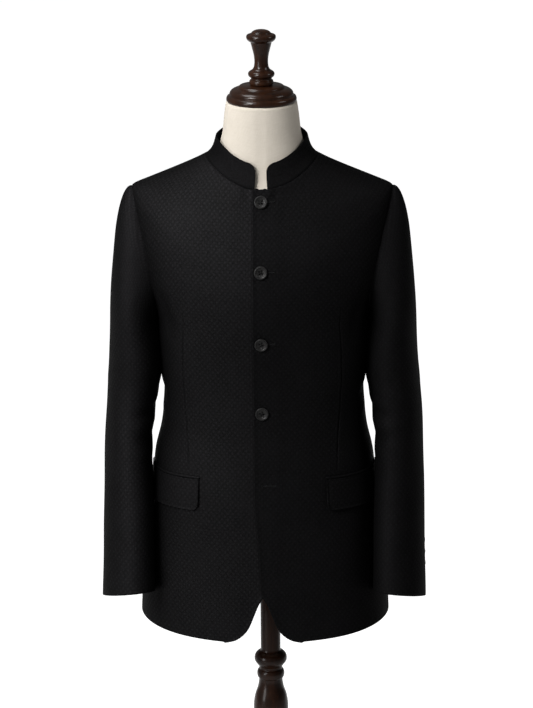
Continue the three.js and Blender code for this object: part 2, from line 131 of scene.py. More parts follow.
# The left sleeve below the armpit: the middle of each ring, half its breadth seen from the front,
# half its depth, how far its front swings in, and how much its front edge is above its middle
ARM = table(
    ["at", "x", "y", "z", "across", "deep", "turn", "lift"],
    [
        [0, 206.8, 0, 1203, 39.6, 70, 0, 0],
        [43, 205.4, 0, 1160, 42.9, 69, 2, 0],
        [72, 205.8, 0, 1131, 43.9, 67.8, 3, 0],
        [98, 209.2, 0, 1105, 42.9, 66.5, 5, 1],
        [158, 217, -7, 1045, 39.7, 64, 9, 4],
        [220, 219.6, -21, 985, 39.6, 61.5, 13, 8],
        [287, 219.2, -39, 920, 41.4, 59.5, 16, 11],
        [360, 219, -58, 850, 41.9, 58, 19, 14],
        [449, 219.6, -81, 766, 43, 56.5, 21, 16],
    ],
)
CUFF = ARM["at"][-1]

# The shoulder's edge is sharp at its tip and is softened towards the front and the back
SOFT_MOST = 80.0
SOFT_REACH = 100.0
SOFT_SHARES = [(-1, 0.11), (-0.5, 0.22), (0, 0.34), (0.5, 0.22), (1, 0.11)]

# The front edge: its small round at the neck, and its cutaway, which leans from the middle slowly
# and then faster, down to the round corner at the hem
TOP_CORNER = 4.5
CUTAWAY = {"starts": 245, "slope": 0.06, "bends": 84, "lean": 0.38, "corner": 27}
CUTAWAY_EASES = {"slope": 90, "lean": 30}
# The armhole: its reach in degrees, how much of an egg it is, and how much smaller the sleeve is
ARMHOLE = {"front": 24, "back": 27, "egg": 0.2, "seam": 0.006}
# Below the armpit the side seam swings back by a few degrees
SIDE_SEAM = {"back": 8, "over": 160}
# The sleeve's two seams, in degrees from the shoulder tip by way of the front
FRONT_SEAM = 150
BACK_SEAM = 285
# How the sleeve's head leaves the armhole: its angle at the top, how much lower it is halfway down,
# how it spreads to the front and the back, and the pull at each end of its curve
HEAD = {"up": 5, "lower": 42.5, "spread": 0.35, "leave": 0.36, "leave_below": 0.15, "arrive": 1.12}

# Where the front dart runs, as a bearing at each level
DART = table(
    ["at", "bearing"],
    [[0, 36.5], [258, 38.8], [368, 46.3], [465, 44.7], [532, 41.7], [640, 40], [838, 40]],
)
DART_FOOT = 262.0
DART_POINT = 532.0


def smooth_step(v):
    v = np.clip(v, 0, 1)
    return v * v * (3 - 2 * v)


def hermite(a, b, p, q, u):
    """The cubic curve from a to b, with slopes p and q at its ends."""
    rise = u * u * (3 - 2 * u)
    return a + (b - a) * rise + p * u * (1 - u) ** 2 - q * u * u * (1 - u)


def swell(distance, wide):
    """1 in the middle, dying away smoothly on both sides."""
    return np.exp(-((distance / wide) ** 2))


def read(rows, column, at):
    """A column's value between the rows of a table, on a smooth curve through them."""
    x, y = rows["at"], rows[column]
    slope = np.empty_like(y)
    slope[1:-1] = (y[2:] - y[:-2]) / (x[2:] - x[:-2])
    slope[0] = (y[1] - y[0]) / (x[1] - x[0])
    slope[-1] = (y[-1] - y[-2]) / (x[-1] - x[-2])
    i = np.clip(np.searchsorted(x, at), 1, len(x) - 1)
    span = x[i] - x[i - 1]
    u = np.clip((at - x[i - 1]) / span, 0, 1)
    return hermite(y[i - 1], y[i], slope[i - 1] * span, slope[i] * span, u)


def stacked(x, y, z):
    return np.stack(np.broadcast_arrays(x, y, z), axis=-1)


def ring_points(rows, bearing, at):
    """Points of a pile of rings, by bearing in degrees from the centre front to the left."""
    s = np.sin(np.radians(bearing))
    c = np.cos(np.radians(bearing))
    depth = np.where(c > 0, read(rows, "fore", at), read(rows, "aft", at))
    end = np.where(c > 0, read(rows, "front", at), read(rows, "back", at))
    side = read(rows, "side", at)
    square = read(rows, "square", at)
    return stacked(
        read(rows, "half", at) * s * (1 + square * c * c),
        -depth * c * (1 + square * s * s),
        side + (end - side) * c * c,
    )


def body_points(bearing, level):
    """The body's surface, by bearing and level, softened over the shoulder's edge."""
    near = np.clip(1 - np.abs(level - SHOULDER_TIP) / SOFT_REACH, 0, 1)
    spread = SOFT_MOST * near * np.abs(np.cos(np.radians(bearing)))
    return sum(share * ring_points(BODY, bearing, level + step * spread) for step, share in SOFT_SHARES)


def outward(surface, around, along, step_around, step_along):
    """The outward directions of a surface, from two short steps on it."""
    ring = surface(around + step_around, along) - surface(around - step_around, along)
    line = surface(around, along + step_along) - surface(around, along - step_along)
    facing = np.cross(ring, line)
    return facing / np.linalg.norm(facing, axis=-1, keepdims=True)


def body_out(bearing, level):
    return outward(body_points, bearing, level, 0.5, 0.5)


def on_body(bearing, level, out):
    """A point that stands out from the body's surface."""
    return body_points(bearing, level) + body_out(bearing, level) * np.asarray(out)[..., None]


def degrees(bearing, level, distance):
    """Degrees of bearing that cover a distance along a ring of the body."""
    step = body_points(bearing + 0.5, level) - body_points(bearing - 0.5, level)
    return distance / np.linalg.norm(step, axis=-1)


def armhole_edge(turn, size):
    """(bearing, level) of the armhole's edge at a turn in degrees from the shoulder tip."""
    s = size * np.sin(np.radians(turn))
    c = size * np.cos(np.radians(turn))
    reach = np.where(s > 0, -ARMHOLE["front"], ARMHOLE["back"])
    bearing = 90 + reach * np.abs(s) * (1 - ARMHOLE["egg"] * c)
    return bearing, ARMPIT + (SHOULDER_TIP - ARMPIT) * (1 + c) / 2


def outer_edge(level, sign):
    """The bearing at which a panel ends towards the sleeve. sign is 1 in front and -1 behind."""
    share = 2 * (level - ARMPIT) / (SHOULDER_TIP - ARMPIT) - 1
    turn = np.degrees(np.arccos(np.clip(share, -1, 1)))
    side_seam = 90 + SIDE_SEAM["back"] * smooth_step((ARMPIT - level) / SIDE_SEAM["over"])
    on_armhole = (level > ARMPIT) & (level < SHOULDER_TIP)
    bearing = np.where(on_armhole, armhole_edge(sign * turn, 1)[0], side_seam)
    return bearing - sign * degrees(bearing, level, SHUT)


def front_edge(level):
    """How far a front's edge is from the centre line, negative past it."""
    below = np.maximum(CUTAWAY["starts"] - level, 0)
    bent = np.maximum(CUTAWAY["bends"] - level, 0)
    inside = np.clip(1 - level / CUTAWAY["corner"], 0, 1)
    near_top = np.clip(1 - (NECKLINE - level) / TOP_CORNER, 0, 1)
    line = CUTAWAY["slope"] * below * smooth_step(below / CUTAWAY_EASES["slope"])
    lean = CUTAWAY["lean"] * bent * smooth_step(bent / CUTAWAY_EASES["lean"])
    rounded = CUTAWAY["corner"] * (1 - np.sqrt(1 - inside**2))
    return -LAP + line + lean + rounded + TOP_CORNER * (1 - np.sqrt(1 - near_top**2))


def arm_points(turn, at):
    """The left sleeve below the armpit's level, by degrees from its outer side to its front."""
    swing = np.radians(read(ARM, "turn", at))
    deep = read(ARM, "deep", at)
    wide = np.sqrt(read(ARM, "across", at) ** 2 - (deep * np.sin(swing)) ** 2) / np.cos(swing)
    outer = wide * np.cos(np.radians(turn))
    fore = deep * np.sin(np.radians(turn))
    return stacked(
        read(ARM, "x", at) + outer * np.cos(swing) - fore * np.sin(swing),
        read(ARM, "y", at) - outer * np.sin(swing) - fore * np.cos(swing),
        read(ARM, "z", at) + read(ARM, "lift", at) * np.sin(np.radians(turn)),
    )


def sleeve_points(turn, along):
    """The left sleeve: along runs from 0 at the armhole to 1 at the armpit's level, and then on in
    millimetres down the arm."""
    turn, along = np.broadcast_arrays(turn, along)
    bearing, level = armhole_edge(turn, 1 - ARMHOLE["seam"])
    c = np.cos(np.radians(turn))
    rise = np.radians(HEAD["up"] - HEAD["lower"] * (1 - c))
    leave = stacked(np.cos(rise), -HEAD["spread"] * np.sin(np.radians(turn)), np.sin(rise))
    leave = leave / np.linalg.norm(leave, axis=-1, keepdims=True)
    start = on_body(bearing, level, np.full_like(c, SEAM))
    end = arm_points(turn, 0.0)
    reach = np.linalg.norm(end - start, axis=-1, keepdims=True)
    leave = leave * reach * (HEAD["leave"] + HEAD["leave_below"] * (1 - c))[..., None]
    arrive = arm_points(turn, 1.0) - end
    arrive = HEAD["arrive"] * reach * arrive / np.linalg.norm(arrive, axis=-1, keepdims=True)
    head = hermite(start, end, leave, arrive, np.minimum(along, 1)[..., None])
    arm = arm_points(turn, np.maximum(along - 1, 0))
    return np.where((along < 1)[..., None], head, arm)


def collar_points(bearing, share):
    return ring_points(COLLAR, bearing, share)


# Creases: soft troughs and ridges. Each runs between two places on a surface and is wide and high
# in millimetres, a trough where high is negative.
# On the body: the sides of the waist, the small of the back, below the armholes, and beside the
# collar's gap
BODY_CREASES = table(
    ["b0", "l0", "b1", "l1", "wide", "high"],
    [
        [70, 372, 96, 380, 9, -1.6],
        [74, 392, 98, 398, 7, 1.2],
        [66, 346, 92, 350, 10, 1.2],
        [112, 402, 176, 412, 12, -2.2],
        [118, 380, 168, 384, 10, 1.8],
        [126, 358, 172, 362, 9, -1.4],
        [60, 560, 55, 470, 13, -2.2],
        [122, 620, 128, 470, 14, -3],
        [118, 600, 112, 440, 12, 2.2],
        [136, 690, 150, 610, 16, 1.6],
        [98, 300, 104, 60, 26, 2],
        [138, 280, 146, 30, 30, -2.4],
        [20, 600, 48, 650, 16, -0.8],
        [11.5, 842, 3, 808, 4, 1.3],
        [17, 842, 9, 800, 5, -1.3],
    ],
)
# On the sleeve: inside the elbow, behind it, and a long soft break down the forearm
SLEEVE_CREASES = table(
    ["b0", "l0", "b1", "l1", "wide", "high"],
    [
        [80, 148, 200, 132, 7, -2.2],
        [70, 168, 190, 158, 8, 2.0],
        [86, 190, 196, 182, 7, -1.8],
        [95, 216, 180, 208, 9, 1.3],
        [100, 118, 190, 104, 9, -1.4],
        [250, 150, 300, 176, 10, -1.6],
        [240, 190, 310, 206, 11, -1.3],
        [40, 90, 70, 300, 20, 1.3],
        [300, 120, 330, 330, 20, -1.3],
        [20, 330, 80, 420, 16, -1.0],
        [330, 20, 350, 110, 18, 1.0],
        [140, 40, 200, 60, 10, -1.5],
    ],
)


WAVE_LENGTH = 85
CREASE_STOPS = np.linspace(0, 1, 7)


def creased(points, facing, creases, surface, wave, seed):
    """Moves a grid's points along their outward directions by the creases and by a slow wave."""
    depth = np.zeros(points.shape[:-1])
    for b0, l0, b1, l1, wide, high in zip(*creases.values()):
        path = surface(b0 + (b1 - b0) * CREASE_STOPS, l0 + (l1 - l0) * CREASE_STOPS)
        far = np.full(depth.shape, np.inf)
        fade = np.zeros(depth.shape)
        for i, (start, end) in enumerate(zip(path, path[1:])):
            line = end - start
            u = np.clip((points - start) @ line / (line @ line), 0, 1)
            gap = np.linalg.norm(points - start - u[..., None] * line, axis=-1)
            near = gap < far
            far = np.where(near, gap, far)
            fade = np.where(near, np.sin(math.pi * (i + u) / (len(path) - 1)), fade)
        depth += high * fade * swell(far, wide)
    slow = [noise.noise(Vector(p) / WAVE_LENGTH + Vector((seed, 0, 0))) for p in points.reshape(-1, 3)]
    depth += wave * np.array(slow).reshape(depth.shape)
    return points + facing * depth[..., None]


def arcs(points):
    """How far each point of a grid is along its row, from the row's first point."""
    steps = np.linalg.norm(np.diff(points, axis=1), axis=-1)
    return np.concatenate([np.zeros((len(points), 1)), np.cumsum(steps, axis=1)], axis=1)


def grain(points):
    """Where each point of a panel lies on the flat cloth: across from its row's first point, and
    up from the floor along the cloth."""
    row = np.diff(points, axis=1)
    column = np.diff(points, axis=0)
    across = np.cumsum(np.hypot(row[..., 0], row[..., 1]), axis=1)
    up = np.cumsum(np.hypot(column[..., 1], column[..., 2]), axis=0)
    across = np.concatenate([np.zeros((len(points), 1)), across], axis=1)
    up = points[:1, :, 2] + np.concatenate([np.zeros((1, points.shape[1])), up])
    return across, up


def woven_grid(points, weave):
    """A bmesh grid through points, with the weave's own coordinates. Rows run up the piece."""
    rows, columns = points.shape[:2]
    bm = bmesh.new()
    bmesh.ops.create_grid(bm, x_segments=columns - 1, y_segments=rows - 1, size=0.5)
    weave_layer = bm.loops.layers.uv.new("weave")
    place = {}
    for vert in bm.verts:
        row = round((vert.co.y + 0.5) * (rows - 1))
        column = round((vert.co.x + 0.5) * (columns - 1))
        place[vert.index] = (row, column)
    for face in bm.faces:
        for loop in face.loops:
            loop[weave_layer].uv = weave[place[loop.vert.index]] * MM
    for vert in bm.verts:
        vert.co = Vector(points[place[vert.index]]) * MM
    return bm


def ease_edges(piece, name, width, sharper_than):
    """Rounds a piece's edges where it turns by more than some degrees."""
    rounding = piece.modifiers.new(name, "BEVEL")
    rounding.width = width * MM
    rounding.segments = 2
    rounding.limit_method = "ANGLE"
    rounding.angle_limit = math.radians(sharper_than)


def lay_cloth(name, points, weave, mirror, thick, edge=0.8):
    """A piece of cloth from a grid of points on its outer face."""
    bm = woven_grid(points, weave)
    if mirror:
        bmesh.ops.scale(bm, vec=(-1, 1, 1), verts=bm.verts)
        bmesh.ops.reverse_faces(bm, faces=bm.faces)
    piece = finished(name, bm)
    shell = piece.modifiers.new("thickness", "SOLIDIFY")
    shell.thickness = thick * MM
    shell.offset = -1
    ease_edges(piece, "pressed_edge", edge, 50)
    return piece


def finished(name, bm):
    """Makes an object of a bmesh, smooth-shaded."""
    mesh = bpy.data.meshes.new(name)
    for face in bm.faces:
        face.smooth = True
    bm.to_mesh(mesh)
    bm.free()
    piece = bpy.data.objects.new(name, mesh)
    bpy.context.scene.collection.objects.link(piece)
    return piece


# Materials


class Nodes:
    """A material's nodes, wired with short calls."""

    def __init__(self, name):
        self.material = bpy.data.materials.new(name)
        self.material.use_nodes = True
        self.tree = self.material.node_tree
        self.shader = self.tree.nodes["Principled BSDF"]

    def add(self, kind, inputs=(), **settings):
        node = self.tree.nodes.new("ShaderNode" + kind)
        for key, value in settings.items():
            setattr(node, key, value)
        for key, value in dict(inputs).items():
            self.feed(node.inputs[key], value)
        return node

    def feed(self, socket, value):
        if isinstance(value, bpy.types.NodeSocket):
            self.tree.links.new(value, socket)
        else:
            socket.default_value = value

    def math(self, operation, a, b=0.0, clamp=False):
        node = self.add("Math", {0: a, 1: b}, operation=operation, use_clamp=clamp)
        return node.outputs[0]

    def times(self, a, b, clamp=False):
        return self.math("MULTIPLY", a, b, clamp)

    def plus(self, a, b, clamp=False):
        return self.math("ADD", a, b, clamp)

    def object_place(self):
        return self.add("TexCoord").outputs["Object"]

    def weave_place(self):
        return self.add("UVMap", uv_map="weave").outputs["UV"]

    def axes(self, vector):
        """The first two coordinates of a vector."""
        split = self.add("SeparateXYZ", {"Vector": vector})
        return split.outputs["X"], split.outputs["Y"]

    def scaled(self, place, scale):
        return self.add("Mapping", {"Vector": place, "Scale": scale}).outputs["Vector"]

    def noise(self, vector, scale, detail=2.0, roughness=0.5):
        inputs = {"Vector": vector, "Scale": scale, "Detail": detail, "Roughness": roughness}
        return self.add("TexNoise", inputs).outputs["Fac"]

    def blend(self, share, low, high):
        node = self.add("Mix", data_type="RGBA")
        self.feed(node.inputs["Factor"], share)
        self.feed(node.inputs["A"], (*low, 1))
        self.feed(node.inputs["B"], (*high, 1))
        return node.outputs["Result"]

    def span(self, value, low, high):
        """A 0 to 1 value as one between two limits."""
        node = self.add("MapRange", {"Value": value, "To Min": low, "To Max": high})
        return node.outputs["Result"]

    def bump(self, height, distance, strength=1.0, after=None):
        inputs = {"Height": height, "Distance": distance, "Strength": strength}
        if after is not None:
            inputs["Normal"] = after
        return self.add("Bump", inputs).outputs["Normal"]

    def set(self, **sockets):
        for key, value in sockets.items():
            self.feed(self.shader.inputs[key.replace("_", " ")], value)
        return self.material


# The woven net: a lozenge's width, its width over its height, and the pitch of the threads
LOZENGE = {"wide": 8.7, "shape": 0.88, "thread": 0.55}


def dobby_cloth(name, strength, shine):
    """Black worsted with a woven net of fine lines, and a dot in each of its lozenges."""
    n = Nodes(name)
    x, y = n.axes(n.weave_place())
    turns = 2 * math.pi / (LOZENGE["wide"] * MM)
    across = n.math("COSINE", n.times(x, turns))
    along = n.math("COSINE", n.times(y, turns * LOZENGE["shape"]))
    # 1 in the middle of each lozenge and 0 along the lines between them
    lozenge = n.math("ABSOLUTE", n.times(n.plus(across, along), 0.5))
    dot = n.math("POWER", lozenge, 2.0)
    net = n.math("POWER", n.math("SUBTRACT", 1.0, lozenge), 6.0)
    thread_turns = 2 * math.pi / (LOZENGE["thread"] * MM)
    warp = n.math("SINE", n.times(x, thread_turns))
    weft = n.math("SINE", n.times(y, thread_turns))
    thread = n.times(n.plus(warp, weft), 0.25)
    place = n.object_place()
    cloudy = n.noise(place, 14.0, 3.0)
    fleck = n.noise(place, 650.0, 2.0, 0.7)
    figure = n.times(n.plus(dot, n.times(net, 0.25)), strength)
    ground = n.plus(n.times(cloudy, 0.35), n.span(fleck, -0.9, 1.0))
    tone = n.plus(figure, ground, clamp=True)
    height = n.plus(figure, n.times(thread, 0.5))
    woven = n.bump(height, 0.2 * MM, 0.5)
    # The nap swallows the light that grazes it
    facing = n.add("LayerWeight", {"Blend": 0.5}).outputs["Facing"]
    gloss = n.span(tone, 0.05 * shine, 0.165 * shine)
    sheen = n.times(gloss, n.span(facing, 1.0, 0.1))
    return n.set(
        Base_Color=n.blend(tone, (0.0014, 0.0014, 0.0014), (0.0034, 0.0034, 0.0036)),
        Roughness=n.span(figure, 0.7, 0.64),
        Specular_IOR_Level=sheen,
        Specular_Tint=(0.97, 0.94, 1.0, 1.0),
        Normal=n.bump(fleck, 0.12 * MM, 0.4, woven),
    )


def linen():
    """Cream linen, with slubs in its threads."""
    n = Nodes("linen")
    weave = n.weave_place()
    x, y = n.axes(weave)
    threads = 2 * math.pi / (1.1 * MM)
    warp = n.math("SINE", n.times(x, threads))
    weft = n.math("SINE", n.times(y, threads))
    cross = n.times(n.plus(n.times(warp, weft), 1.0), 0.5)
    warp_slub = n.noise(n.scaled(weave, (900, 60, 1)), 1.0, 3.0)
    weft_slub = n.noise(n.scaled(weave, (60, 900, 1)), 1.0, 3.0)
    slub = n.times(n.plus(warp_slub, weft_slub), 0.5)
    height = n.plus(n.times(cross, 0.5), slub)
    return n.set(
        Base_Color=n.blend(n.span(slub, -0.4, 1.4), (0.435, 0.39, 0.33), (0.525, 0.485, 0.425)),
        Roughness=0.9,
        Specular_IOR_Level=0.2,
        Normal=n.bump(height, 0.3 * MM, 0.5),
    )


def walnut():
    """Dark stained hardwood under a gloss varnish, with the grain running up."""
    n = Nodes("walnut")
    place = n.object_place()
    grain = n.noise(n.scaled(place, (60, 60, 5)), 1.0, 5.0, 0.6)
    pores = n.noise(n.scaled(place, (700, 700, 22)), 1.0, 2.0)
    tone = n.plus(n.times(grain, 0.8), n.times(pores, 0.3))
    shade = n.times(n.math("SUBTRACT", tone, 0.32), 2.4, clamp=True)
    return n.set(
        Base_Color=n.blend(shade, (0.0014, 0.0006, 0.0004), (0.027, 0.0095, 0.0038)),
        Roughness=n.span(pores, 0.4, 0.5),
        Specular_IOR_Level=0.03,
        Coat_Weight=0.4,
        Coat_Roughness=0.2,
        Normal=n.bump(n.plus(pores, grain), 0.08 * MM, 0.15),
    )


def horn():
    """Dark polished horn, clouded brown and grey."""
    n = Nodes("horn")
    place = n.object_place()
    cloud = n.noise(place, 130.0, 4.0, 0.6)
    scratch = n.noise(n.scaled(place, (900, 900, 4000)), 1.0, 2.0)
    return n.set(
        Base_Color=n.blend(n.span(cloud, -0.3, 1.3), (0.006, 0.006, 0.0062), (0.013, 0.0125, 0.012)),
        Roughness=n.span(scratch, 0.38, 0.46),
        Specular_IOR_Level=0.17,
        Normal=n.bump(scratch, 0.01 * MM, 0.2),
    )


def thread():
    """Black silk twist."""
    n = Nodes("thread")
    place = n.object_place()
    twist = n.noise(place, 2500.0, 2.0)
    return n.set(
        Base_Color=n.blend(twist, (0.0015, 0.0015, 0.0016), (0.005, 0.005, 0.0055)),
        Roughness=0.7,
        Specular_IOR_Level=0.12,
        Normal=n.bump(twist, 0.1 * MM, 0.5),
    )


def floor_paint_and_glow():
    """Pale paint that glows though it is no lamp: painted light, faint all over and bright along a path
    behind the form.
    """
    n = Nodes("studio_floor")
    place = n.object_place()
    x, y = n.axes(place)
    back = n.add("MapRange", {"Value": y, "From Min": 0.2, "From Max": 1.3})
    aside = n.math("ABSOLUTE", x)
    path = n.add("MapRange", {"Value": aside, "From Min": 4.5, "From Max": 2.0})
    glow = n.times(back.outputs["Result"], path.outputs["Result"])
    return n.set(
        Base_Color=n.blend(n.noise(place, 3.0), (0.5, 0.5, 0.5), (0.52, 0.52, 0.52)),
        Roughness=0.9,
        Specular_IOR_Level=0.0,
        Emission_Color=(1, 1, 1, 1),
        Emission_Strength=n.span(glow, 0.1, 0.92),
    )


# The wearer's left side is a shaded copy of the cloth, with less sheen and a fainter weave: painted shade
# that makes that side darker than the lamps make it
CLOTH = {
    "right": dobby_cloth("dobby_cloth", 0.5, 1.12),
    "left": dobby_cloth("dobby_cloth_painted_shade", 0.4, 0.64),
}
COLLAR_CLOTH = dobby_cloth("collar_cloth", 0.15, 0.8)
LINEN = linen()
WALNUT = walnut()
HORN = horn()
THREAD = thread()


def dress(piece, material, slot, *nodes):
    """Gives a piece its finish, its place in the frame and the node that it stands for."""
    piece.data.materials.append(material)
    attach(piece, "root")
    if nodes:
        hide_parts(*nodes)


# Levels and shares of the grids' rows and columns
ARMHOLE_STEP = 5
turns_up = np.arange(180, -1, -ARMHOLE_STEP)
armhole_levels = armhole_edge(turns_up.astype(float), 1)[1]
panel_levels = np.concatenate(
    [
        [0, 0.6, 2, 4, 7, 11, 16, 22, 29, 37, 46],
        np.linspace(52, ARMPIT, 88)[:-1],
        armhole_levels,
        np.linspace(SHOULDER_TIP, NECKLINE - 5, 27)[1:],
        NECKLINE - np.array([3.4, 2.2, 1.2, 0.5, 0]),
    ]
)[:, None]
near_edge = [0, 0.004, 0.008, 0.013, 0.018, 0.024, 0.032, 0.042, 0.056, 0.075, 0.1]
towards_dart = np.concatenate([near_edge, np.linspace(0.13, 1, 26)])
near_dart = 1 - (1 - towards_dart) ** 1.9
front_shares = np.concatenate([near_dart - 1, 1 - near_dart[::-1][1:]])[None, :]

# Slow waves of the cloth, and how far a piece is lifted or dips at its edges, in millimetres
BODY_WAVE = 0.9
SLEEVE_WAVE = 1.2
LAP_FADE = {"from": 16, "over": 30}
PRESSED_EDGE = {"high": 0.85, "wide": 1.7, "falls": 4}
NECK_DIP = {"deep": 1.0, "wide": 2.2}
SEAM_DIP = {"deep": 0.9, "wide": 1.6}
CENTRE_BACK_DIP = {"deep": 0.7, "wide": 1.6}
DART_FOLD = {"deep": 1.9, "wide": 1.1, "lip": 0.35, "lip_at": 2.8, "lip_wide": 1.8}
# The sleeve's pieces are this many degrees from their seams
SLEEVE_GAP = 0.05
# The seam allowances that turn in behind the panels, of the sleeves and the collar
SLEEVE_ALLOWANCE = {"ring": 1.012, "inside": 2.6}
COLLAR_ALLOWANCE = {"down": 2.4, "inside": 2.2, "share": 0.05}


def front_grid(lap, seed):
    """Points and weave of a front, as a grid on the wearer's left. lap is 1 over and -1 under."""
    level = panel_levels
    edge = degrees(0.0, level, front_edge(level))
    dart = read(DART, "bearing", level)
    outer = outer_edge(level, 1)
    reach = np.where(front_shares < 0, dart - edge, outer - dart)
    bearing = dart + front_shares * reach
    level = np.broadcast_to(level, bearing.shape)
    points = body_points(bearing, level)
    facing = body_out(bearing, level)
    across = arcs(points)
    lift = lap * LAP_STEP * (1 - smooth_step((points[..., 0] - LAP_FADE["from"]) / LAP_FADE["over"]))
    # The pressed front edge: a round bead that falls away behind it
    wide = PRESSED_EDGE["wide"]
    rise = 1 - (1 - across / wide) ** 2
    bead = np.where(across < wide, rise, swell(across - wide, PRESSED_EDGE["falls"]))
    lift = lift + PRESSED_EDGE["high"] * bead
    # The panel dips a little into its seams
    lift = lift - NECK_DIP["deep"] * swell(NECKLINE - level, NECK_DIP["wide"])
    lift = lift - SEAM_DIP["deep"] * swell(across[:, -1:] - across, SEAM_DIP["wide"])
    # The dart: a fine fold, deepest at the waist, that dies away at its point
    from_dart = across - across[:, len(towards_dart) - 1][:, None]
    run = (level - DART_FOOT) / (DART_POINT - DART_FOOT)
    depth = np.sqrt(np.clip(4 * run * (1 - run), 0, 1)) * (run > 0) * (run < 1)
    lift = lift - DART_FOLD["deep"] * depth * swell(from_dart, DART_FOLD["wide"])
    lift = lift + DART_FOLD["lip"] * depth * swell(from_dart + DART_FOLD["lip_at"], DART_FOLD["lip_wide"])
    points = points + facing * lift[..., None]
    points = creased(points, facing, BODY_CREASES, body_points, BODY_WAVE, seed)
    flat_across, up = grain(points)
    return points, np.stack([flat_across + front_edge(level[:, :1]), up], axis=-1)


def back_grid(seed):
    """Points and weave of a back, from the sleeve to the centre seam."""
    level = panel_levels
    middle = 180 - degrees(180.0, level, SHUT)
    shares = (1 - np.cos(np.linspace(0, math.pi, 61)))[None, :] / 2
    outer = outer_edge(level, -1)
    bearing = outer + (middle - outer) * shares
    level = np.broadcast_to(level, bearing.shape)
    points = body_points(bearing, level)
    facing = body_out(bearing, level)
    across = arcs(points)
    from_middle = across[:, -1:] - across
    dip = CENTRE_BACK_DIP["deep"] * swell(from_middle, CENTRE_BACK_DIP["wide"])
    dip = dip + SEAM_DIP["deep"] * swell(across, SEAM_DIP["wide"])
    points = points - facing * dip[..., None]
    points = creased(points, facing, BODY_CREASES, body_points, BODY_WAVE, seed)
    flat_across, up = grain(points)
    return points, np.stack([flat_across - flat_across[:, -1:], up], axis=-1)


def sleeve_grid(start, end, seed):
    """A piece of the left sleeve between two seams."""
    count = round((end - start) / ARMHOLE_STEP)
    turn = np.linspace(start + SLEEVE_GAP, end - SLEEVE_GAP, count + 1)[None, :]
    along = np.concatenate([np.linspace(0, 1, 34), 1 + np.linspace(0, CUFF, 92)[1:]])[::-1][:, None]
    turn, along = np.broadcast_arrays(turn, along)
    points = sleeve_points(turn, along)
    facing = outward(sleeve_points, turn, along, 1.0, 0.01)
    # The seam allowance turns in behind the panels' edge
    bearing, level = armhole_edge(turn[-1], SLEEVE_ALLOWANCE["ring"])
    allowance = on_body(bearing, level, np.full(count + 1, -SLEEVE_ALLOWANCE["inside"]))
    points = np.concatenate([points, allowance[None]])
    facing = np.concatenate([facing, facing[-1:]])
    creased_points = creased(points, facing, SLEEVE_CREASES, arm_points, SLEEVE_WAVE, seed)
    across = arcs(points)
    across = across - across[:, count // 2][:, None]
    steps = np.linalg.norm(np.diff(points, axis=0), axis=-1)
    up = points[:1, :, 2] + np.concatenate([np.zeros((1, count + 1)), np.cumsum(steps, axis=0)])
    # A sleeve's turns run against the body's bearings, so its rows are laid the other way round
    grid = creased_points[:, ::-1]
    return grid, np.stack([across, up], axis=-1)[:, ::-1]


for side, mirror in (("left", False), ("right", True)):
    seed = 3.0 if mirror else 11.0
    for name, node, (points, weave) in (
        ("_front", "front_", front_grid(-1 if mirror else 1, seed)),
        ("_back", "back_", back_grid(seed)),
        ("_top_sleeve", "sleeve_top_", sleeve_grid(BACK_SEAM - 360, FRONT_SEAM, seed + 20)),
        ("_under_sleeve", "sleeve_under_", sleeve_grid(FRONT_SEAM, BACK_SEAM, seed + 20)),
    ):
        panel = lay_cloth(side + name, points, weave, mirror, WALL)
        dress(panel, CLOTH[side], "cloth", node + side)


# The collar
def collar_grid():
    rise = np.linspace(0, 1, 15)[:, None]
    per_degree = np.linalg.norm(collar_points(0.5, 0.5) - collar_points(-0.5, 0.5))
    start = COLLAR_GAP / 2 / per_degree
    round_off = COLLAR_CORNER / per_degree
    height = np.linalg.norm(collar_points(start, 1.0) - collar_points(start, 0.0))
    corner = start + round_off * (1 - np.cos(np.linspace(0, math.pi / 2, 9)))
    half = np.concatenate([corner, np.linspace(start + round_off, 180, 50)[1:]])
    bearing = np.concatenate([half, (360 - half[::-1])[1:]])[None, :]
    from_end = (np.minimum(bearing, 360 - bearing) - start) * per_degree
    inside = COLLAR_CORNER - np.minimum(from_end, COLLAR_CORNER)
    drop = COLLAR_CORNER - np.sqrt(np.maximum(COLLAR_CORNER**2 - inside**2, 0))
    share = rise * (1 - drop / height)
    bearing, share = np.broadcast_arrays(bearing, share)
    points = collar_points(bearing, share)
    # The seam allowance goes down behind the panels' edge
    down = points[0] - points[1]
    down = down / np.linalg.norm(down, axis=-1, keepdims=True)
    facing = outward(collar_points, bearing[0], share[0] + 0.03, 0.5, 0.02)
    allowance = points[0] + COLLAR_ALLOWANCE["down"] * down - COLLAR_ALLOWANCE["inside"] * facing
    points = np.concatenate([allowance[None], points])
    climb = np.concatenate([share[:1] - COLLAR_ALLOWANCE["share"], share])
    return points, np.stack([arcs(points), climb * height], axis=-1)


collar_place, collar_weave = collar_grid()
collar = lay_cloth("standing_collar", collar_place, collar_weave, False, COLLAR_WALL, 0.9)
dress(collar, COLLAR_CLOTH, "collar_cloth", "collar")


# Pockets: a flap under a narrow jetting
FLAP = {"x": 101.5, "z": 971.5, "length": 142, "depth": 50, "slant": 0.01, "corner": 9, "thick": 2}
FLAP_FLARE = 2.4
FLAP_BEAD = {"high": 0.4, "wide": 1.3}
FLAP_GROOVE = {"deep": 0.35, "inside": 4, "wide": 1.6}
JETTING = {"depth": 4.5, "thick": 1.2, "roll": 1.3}
LADDER_STEP = 0.5
LADDER = np.arange(0, ARMPIT + LADDER_STEP, LADDER_STEP)


def level_at(bearing, z):
    """The body's level at each height, on each bearing."""
    heights = body_points(bearing[..., None], LADDER)[..., 2]
    return np.array([np.interp(want, up, LADDER) for want, up in zip(z, heights)])


